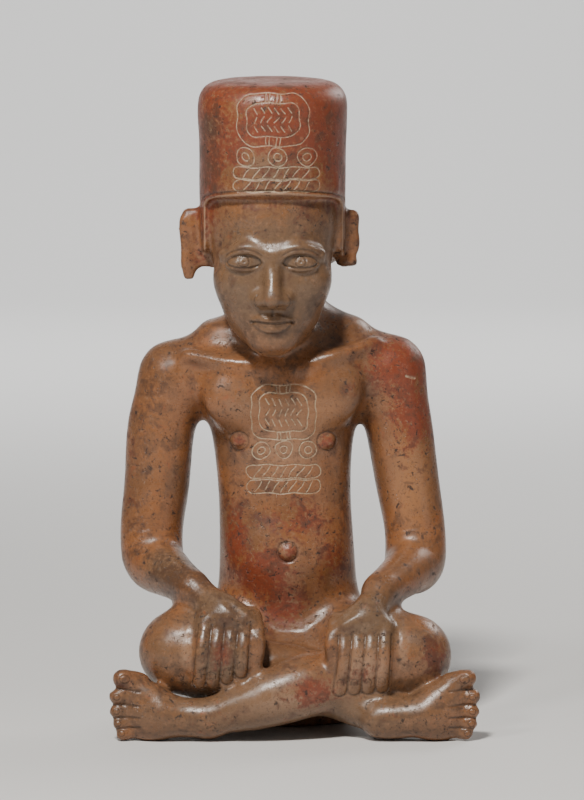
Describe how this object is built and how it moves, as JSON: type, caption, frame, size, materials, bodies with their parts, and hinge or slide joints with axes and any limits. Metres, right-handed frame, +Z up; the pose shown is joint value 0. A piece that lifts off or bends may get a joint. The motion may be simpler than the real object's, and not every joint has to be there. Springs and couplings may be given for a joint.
{
  "type": "seated figure",
  "caption": "Hollow-fired earthenware figure sitting cross-legged, with its hands on its knees and a tall cylindrical cap, in burnished red-brown clay.",
  "frame": {"origin": "on the surface that the figure sits on, below the middle of its width and depth", "axes": "+Z up, the figure faces -Y, +X to the right of someone facing it"},
  "size_m": [0.1846, 0.131, 0.33],
  "materials": {
    "burnished_earthenware": "burnished brown-orange clay with worn red slip, dark specks and soft highlights"
  },
  "bodies": {
    "root": {"seated_figure": "burnished_earthenware"}
  },
  "joints": []
}
